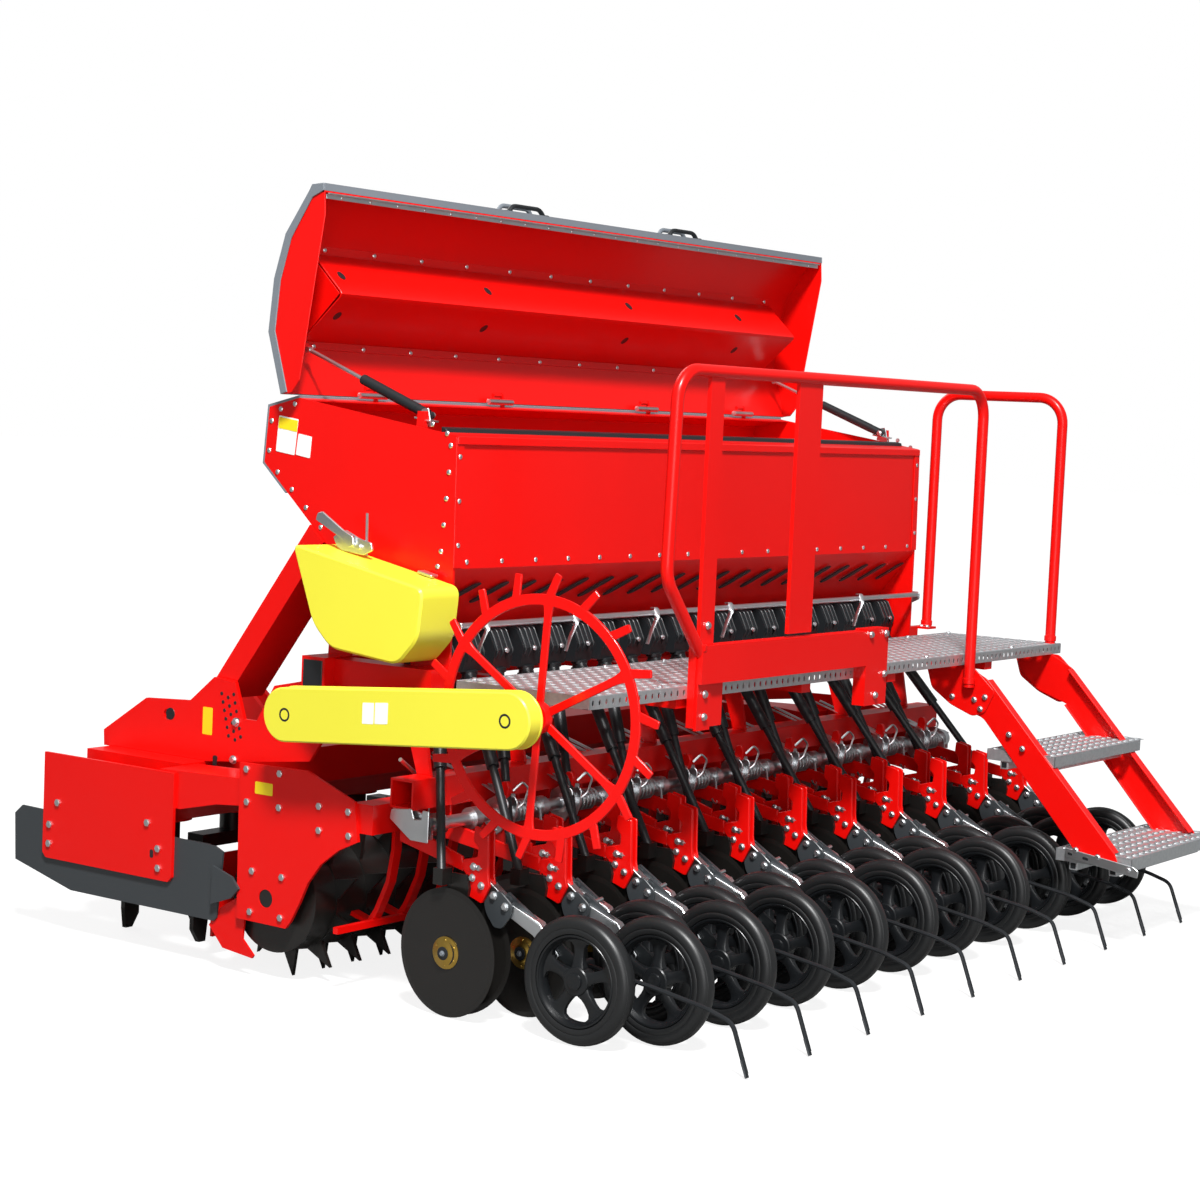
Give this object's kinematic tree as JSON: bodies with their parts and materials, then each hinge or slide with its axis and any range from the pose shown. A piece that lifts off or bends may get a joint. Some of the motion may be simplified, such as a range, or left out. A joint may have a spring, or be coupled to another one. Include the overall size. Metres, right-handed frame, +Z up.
{
  "type": "mounted seed drill on a power harrow with a packer roller",
  "caption": "Mounted seed drill with an open hopper, disc coulters and press wheels, carried on a power harrow with a toothed packer roller.",
  "frame": {"origin": "on the floor, at the middle of the machine's outline seen from above", "axes": "+X to the machine's right, +Y forward to the tractor, +Z up"},
  "size_m": [3.118, 2.721, 2.2412],
  "materials": {
    "red_paint": "gloss",
    "yellow_paint": "gloss",
    "grey_paint": "satin",
    "black_paint": "satin",
    "zinc": "satin",
    "black_steel": "satin",
    "black_plastic": "matte",
    "tyre_black": "matte"
  },
  "bodies": {
    "machine": {"harrow_trough": "red_paint", "headstock": "red_paint", "gearbox": "black_steel", "tower_plates": "red_paint", "side_plates": "red_paint", "side_deflectors": "black_paint", "scraper_bar": "red_paint", "drill_frame": "red_paint", "hopper_shell": "red_paint", "hopper_skin": "grey_paint", "metering_units": "black_plastic", "metering_controls": "zinc", "drive_guard": "yellow_paint", "seed_tubes": "black_plastic", "coulter_arms": "red_paint", "coulter_discs": "black_steel", "wheel_arms": "zinc", "pressure_shaft": "zinc", "following_tines": "black_steel", "deck": "zinc", "deck_rails": "red_paint", "steps": "red_paint"},
    "packer_roller": {"packer_roller": "black_steel"},
    "lid": {"lid": "red_paint"},
    "chain_case": {"chain_case": "yellow_paint"},
    "star_wheel": {"star_wheel": "red_paint"},
    "strut_cylinder_left": {"strut_cylinder_left": "black_paint"},
    "strut_rod_left": {"strut_rod_left": "zinc"},
    "strut_cylinder_right": {"strut_cylinder_right": "black_paint"},
    "strut_rod_right": {"strut_rod_right": "zinc"},
    "rotor_01": {"rotor_01": "black_steel"},
    "rotor_02": {"rotor_02": "black_steel"},
    "rotor_03": {"rotor_03": "black_steel"},
    "rotor_04": {"rotor_04": "black_steel"},
    "rotor_05": {"rotor_05": "black_steel"},
    "rotor_06": {"rotor_06": "black_steel"},
    "rotor_07": {"rotor_07": "black_steel"},
    "rotor_08": {"rotor_08": "black_steel"},
    "rotor_09": {"rotor_09": "black_steel"},
    "rotor_10": {"rotor_10": "black_steel"},
    "press_wheel_rear_01": {"press_wheel_rear_01": "tyre_black"},
    "press_wheel_rear_02": {"press_wheel_rear_02": "tyre_black"},
    "press_wheel_rear_03": {"press_wheel_rear_03": "tyre_black"},
    "press_wheel_rear_04": {"press_wheel_rear_04": "tyre_black"},
    "press_wheel_rear_05": {"press_wheel_rear_05": "tyre_black"},
    "press_wheel_rear_06": {"press_wheel_rear_06": "tyre_black"},
    "press_wheel_rear_07": {"press_wheel_rear_07": "tyre_black"},
    "press_wheel_rear_08": {"press_wheel_rear_08": "tyre_black"},
    "press_wheel_rear_09": {"press_wheel_rear_09": "tyre_black"},
    "press_wheel_rear_10": {"press_wheel_rear_10": "tyre_black"},
    "press_wheel_front_01": {"press_wheel_front_01": "tyre_black"},
    "press_wheel_front_02": {"press_wheel_front_02": "tyre_black"},
    "press_wheel_front_03": {"press_wheel_front_03": "tyre_black"},
    "press_wheel_front_04": {"press_wheel_front_04": "tyre_black"},
    "press_wheel_front_05": {"press_wheel_front_05": "tyre_black"},
    "press_wheel_front_06": {"press_wheel_front_06": "tyre_black"},
    "press_wheel_front_07": {"press_wheel_front_07": "tyre_black"},
    "press_wheel_front_08": {"press_wheel_front_08": "tyre_black"},
    "press_wheel_front_09": {"press_wheel_front_09": "tyre_black"},
    "press_wheel_front_10": {"press_wheel_front_10": "tyre_black"}
  },
  "joints": [
    {"name": "lid_hinge", "type": "hinge", "parent": "machine", "child": "lid", "pos_m": [0.051, 0.3705, 1.652], "axis": [1, 0, 0], "range_deg": [0, 88]},
    {"name": "strut_left_swing", "type": "hinge", "parent": "machine", "child": "strut_cylinder_left", "pos_m": [-1.199, -0.0685, 1.585], "axis": [1, 0, 0], "range_deg": [-6.96, 0]},
    {"name": "strut_left_stroke", "type": "slide", "parent": "strut_cylinder_left", "child": "strut_rod_left", "axis": [0, 0.936, 0.352], "range_m": [-0.1382, 0]},
    {"name": "strut_right_swing", "type": "hinge", "parent": "machine", "child": "strut_cylinder_right", "pos_m": [1.301, -0.0685, 1.585], "axis": [1, 0, 0], "range_deg": [-6.96, 0]},
    {"name": "strut_right_stroke", "type": "slide", "parent": "strut_cylinder_right", "child": "strut_rod_right", "axis": [0, 0.936, 0.352], "range_m": [-0.1382, 0]},
    {"name": "case_swing", "type": "hinge", "parent": "machine", "child": "chain_case", "pos_m": [-1.449, 0.1025, 0.77], "axis": [1, 0, 0], "range_deg": [0, 36.9]},
    {"name": "star_wheel_spin", "type": "hinge", "parent": "chain_case", "child": "star_wheel", "pos_m": [-1.424, -0.6525, 0.834], "axis": [1, 0, 0], "continuous": true},
    {"name": "packer_roller_spin", "type": "hinge", "parent": "machine", "child": "packer_roller", "pos_m": [0.051, 0.2455, 0.235], "axis": [1, 0, 0], "continuous": true},
    {"name": "rotor_01_spin", "type": "hinge", "parent": "machine", "child": "rotor_01", "pos_m": [-1.209, 0.8805, 0.3], "axis": [0, 0, 1], "continuous": true},
    {"name": "rotor_02_spin", "type": "hinge", "parent": "machine", "child": "rotor_02", "pos_m": [-0.929, 0.8805, 0.3], "axis": [0, 0, 1], "continuous": true},
    {"name": "rotor_03_spin", "type": "hinge", "parent": "machine", "child": "rotor_03", "pos_m": [-0.649, 0.8805, 0.3], "axis": [0, 0, 1], "continuous": true},
    {"name": "rotor_04_spin", "type": "hinge", "parent": "machine", "child": "rotor_04", "pos_m": [-0.369, 0.8805, 0.3], "axis": [0, 0, 1], "continuous": true},
    {"name": "rotor_05_spin", "type": "hinge", "parent": "machine", "child": "rotor_05", "pos_m": [-0.089, 0.8805, 0.3], "axis": [0, 0, 1], "continuous": true},
    {"name": "rotor_06_spin", "type": "hinge", "parent": "machine", "child": "rotor_06", "pos_m": [0.191, 0.8805, 0.3], "axis": [0, 0, 1], "continuous": true},
    {"name": "rotor_07_spin", "type": "hinge", "parent": "machine", "child": "rotor_07", "pos_m": [0.471, 0.8805, 0.3], "axis": [0, 0, 1], "continuous": true},
    {"name": "rotor_08_spin", "type": "hinge", "parent": "machine", "child": "rotor_08", "pos_m": [0.751, 0.8805, 0.3], "axis": [0, 0, 1], "continuous": true},
    {"name": "rotor_09_spin", "type": "hinge", "parent": "machine", "child": "rotor_09", "pos_m": [1.031, 0.8805, 0.3], "axis": [0, 0, 1], "continuous": true},
    {"name": "rotor_10_spin", "type": "hinge", "parent": "machine", "child": "rotor_10", "pos_m": [1.311, 0.8805, 0.3], "axis": [0, 0, 1], "continuous": true},
    {"name": "press_wheel_rear_01_spin", "type": "hinge", "parent": "machine", "child": "press_wheel_rear_01", "pos_m": [-1.224, -0.9195, 0.168], "axis": [1, 0, 0], "continuous": true},
    {"name": "press_wheel_rear_02_spin", "type": "hinge", "parent": "machine", "child": "press_wheel_rear_02", "pos_m": [-0.924, -0.9195, 0.168], "axis": [1, 0, 0], "continuous": true},
    {"name": "press_wheel_rear_03_spin", "type": "hinge", "parent": "machine", "child": "press_wheel_rear_03", "pos_m": [-0.624, -0.9195, 0.168], "axis": [1, 0, 0], "continuous": true},
    {"name": "press_wheel_rear_04_spin", "type": "hinge", "parent": "machine", "child": "press_wheel_rear_04", "pos_m": [-0.324, -0.9195, 0.168], "axis": [1, 0, 0], "continuous": true},
    {"name": "press_wheel_rear_05_spin", "type": "hinge", "parent": "machine", "child": "press_wheel_rear_05", "pos_m": [-0.024, -0.9195, 0.168], "axis": [1, 0, 0], "continuous": true},
    {"name": "press_wheel_rear_06_spin", "type": "hinge", "parent": "machine", "child": "press_wheel_rear_06", "pos_m": [0.276, -0.9195, 0.168], "axis": [1, 0, 0], "continuous": true},
    {"name": "press_wheel_rear_07_spin", "type": "hinge", "parent": "machine", "child": "press_wheel_rear_07", "pos_m": [0.576, -0.9195, 0.168], "axis": [1, 0, 0], "continuous": true},
    {"name": "press_wheel_rear_08_spin", "type": "hinge", "parent": "machine", "child": "press_wheel_rear_08", "pos_m": [0.876, -0.9195, 0.168], "axis": [1, 0, 0], "continuous": true},
    {"name": "press_wheel_rear_09_spin", "type": "hinge", "parent": "machine", "child": "press_wheel_rear_09", "pos_m": [1.176, -0.9195, 0.168], "axis": [1, 0, 0], "continuous": true},
    {"name": "press_wheel_rear_10_spin", "type": "hinge", "parent": "machine", "child": "press_wheel_rear_10", "pos_m": [1.476, -0.9195, 0.168], "axis": [1, 0, 0], "continuous": true},
    {"name": "press_wheel_front_01_spin", "type": "hinge", "parent": "machine", "child": "press_wheel_front_01", "pos_m": [-1.374, -0.7785, 0.168], "axis": [1, 0, 0], "continuous": true},
    {"name": "press_wheel_front_02_spin", "type": "hinge", "parent": "machine", "child": "press_wheel_front_02", "pos_m": [-1.074, -0.7785, 0.168], "axis": [1, 0, 0], "continuous": true},
    {"name": "press_wheel_front_03_spin", "type": "hinge", "parent": "machine", "child": "press_wheel_front_03", "pos_m": [-0.774, -0.7785, 0.168], "axis": [1, 0, 0], "continuous": true},
    {"name": "press_wheel_front_04_spin", "type": "hinge", "parent": "machine", "child": "press_wheel_front_04", "pos_m": [-0.474, -0.7785, 0.168], "axis": [1, 0, 0], "continuous": true},
    {"name": "press_wheel_front_05_spin", "type": "hinge", "parent": "machine", "child": "press_wheel_front_05", "pos_m": [-0.174, -0.7785, 0.168], "axis": [1, 0, 0], "continuous": true},
    {"name": "press_wheel_front_06_spin", "type": "hinge", "parent": "machine", "child": "press_wheel_front_06", "pos_m": [0.126, -0.7785, 0.168], "axis": [1, 0, 0], "continuous": true},
    {"name": "press_wheel_front_07_spin", "type": "hinge", "parent": "machine", "child": "press_wheel_front_07", "pos_m": [0.426, -0.7785, 0.168], "axis": [1, 0, 0], "continuous": true},
    {"name": "press_wheel_front_08_spin", "type": "hinge", "parent": "machine", "child": "press_wheel_front_08", "pos_m": [0.726, -0.7785, 0.168], "axis": [1, 0, 0], "continuous": true},
    {"name": "press_wheel_front_09_spin", "type": "hinge", "parent": "machine", "child": "press_wheel_front_09", "pos_m": [1.026, -0.7785, 0.168], "axis": [1, 0, 0], "continuous": true},
    {"name": "press_wheel_front_10_spin", "type": "hinge", "parent": "machine", "child": "press_wheel_front_10", "pos_m": [1.326, -0.7785, 0.168], "axis": [1, 0, 0], "continuous": true}
  ],
  "couplings": [
    {"joint": "strut_left_swing", "follows": "lid_hinge", "ratio": -0.075708},
    {"joint": "strut_left_stroke", "follows": "lid_hinge", "m_per_rad": -0.088659},
    {"joint": "strut_right_swing", "follows": "lid_hinge", "ratio": -0.075708},
    {"joint": "strut_right_stroke", "follows": "lid_hinge", "m_per_rad": -0.088659},
    {"joint": "rotor_02_spin", "follows": "rotor_01_spin", "ratio": -1},
    {"joint": "rotor_03_spin", "follows": "rotor_01_spin", "ratio": 1},
    {"joint": "rotor_04_spin", "follows": "rotor_01_spin", "ratio": -1},
    {"joint": "rotor_05_spin", "follows": "rotor_01_spin", "ratio": 1},
    {"joint": "rotor_06_spin", "follows": "rotor_01_spin", "ratio": -1},
    {"joint": "rotor_07_spin", "follows": "rotor_01_spin", "ratio": 1},
    {"joint": "rotor_08_spin", "follows": "rotor_01_spin", "ratio": -1},
    {"joint": "rotor_09_spin", "follows": "rotor_01_spin", "ratio": 1},
    {"joint": "rotor_10_spin", "follows": "rotor_01_spin", "ratio": -1}
  ]
}
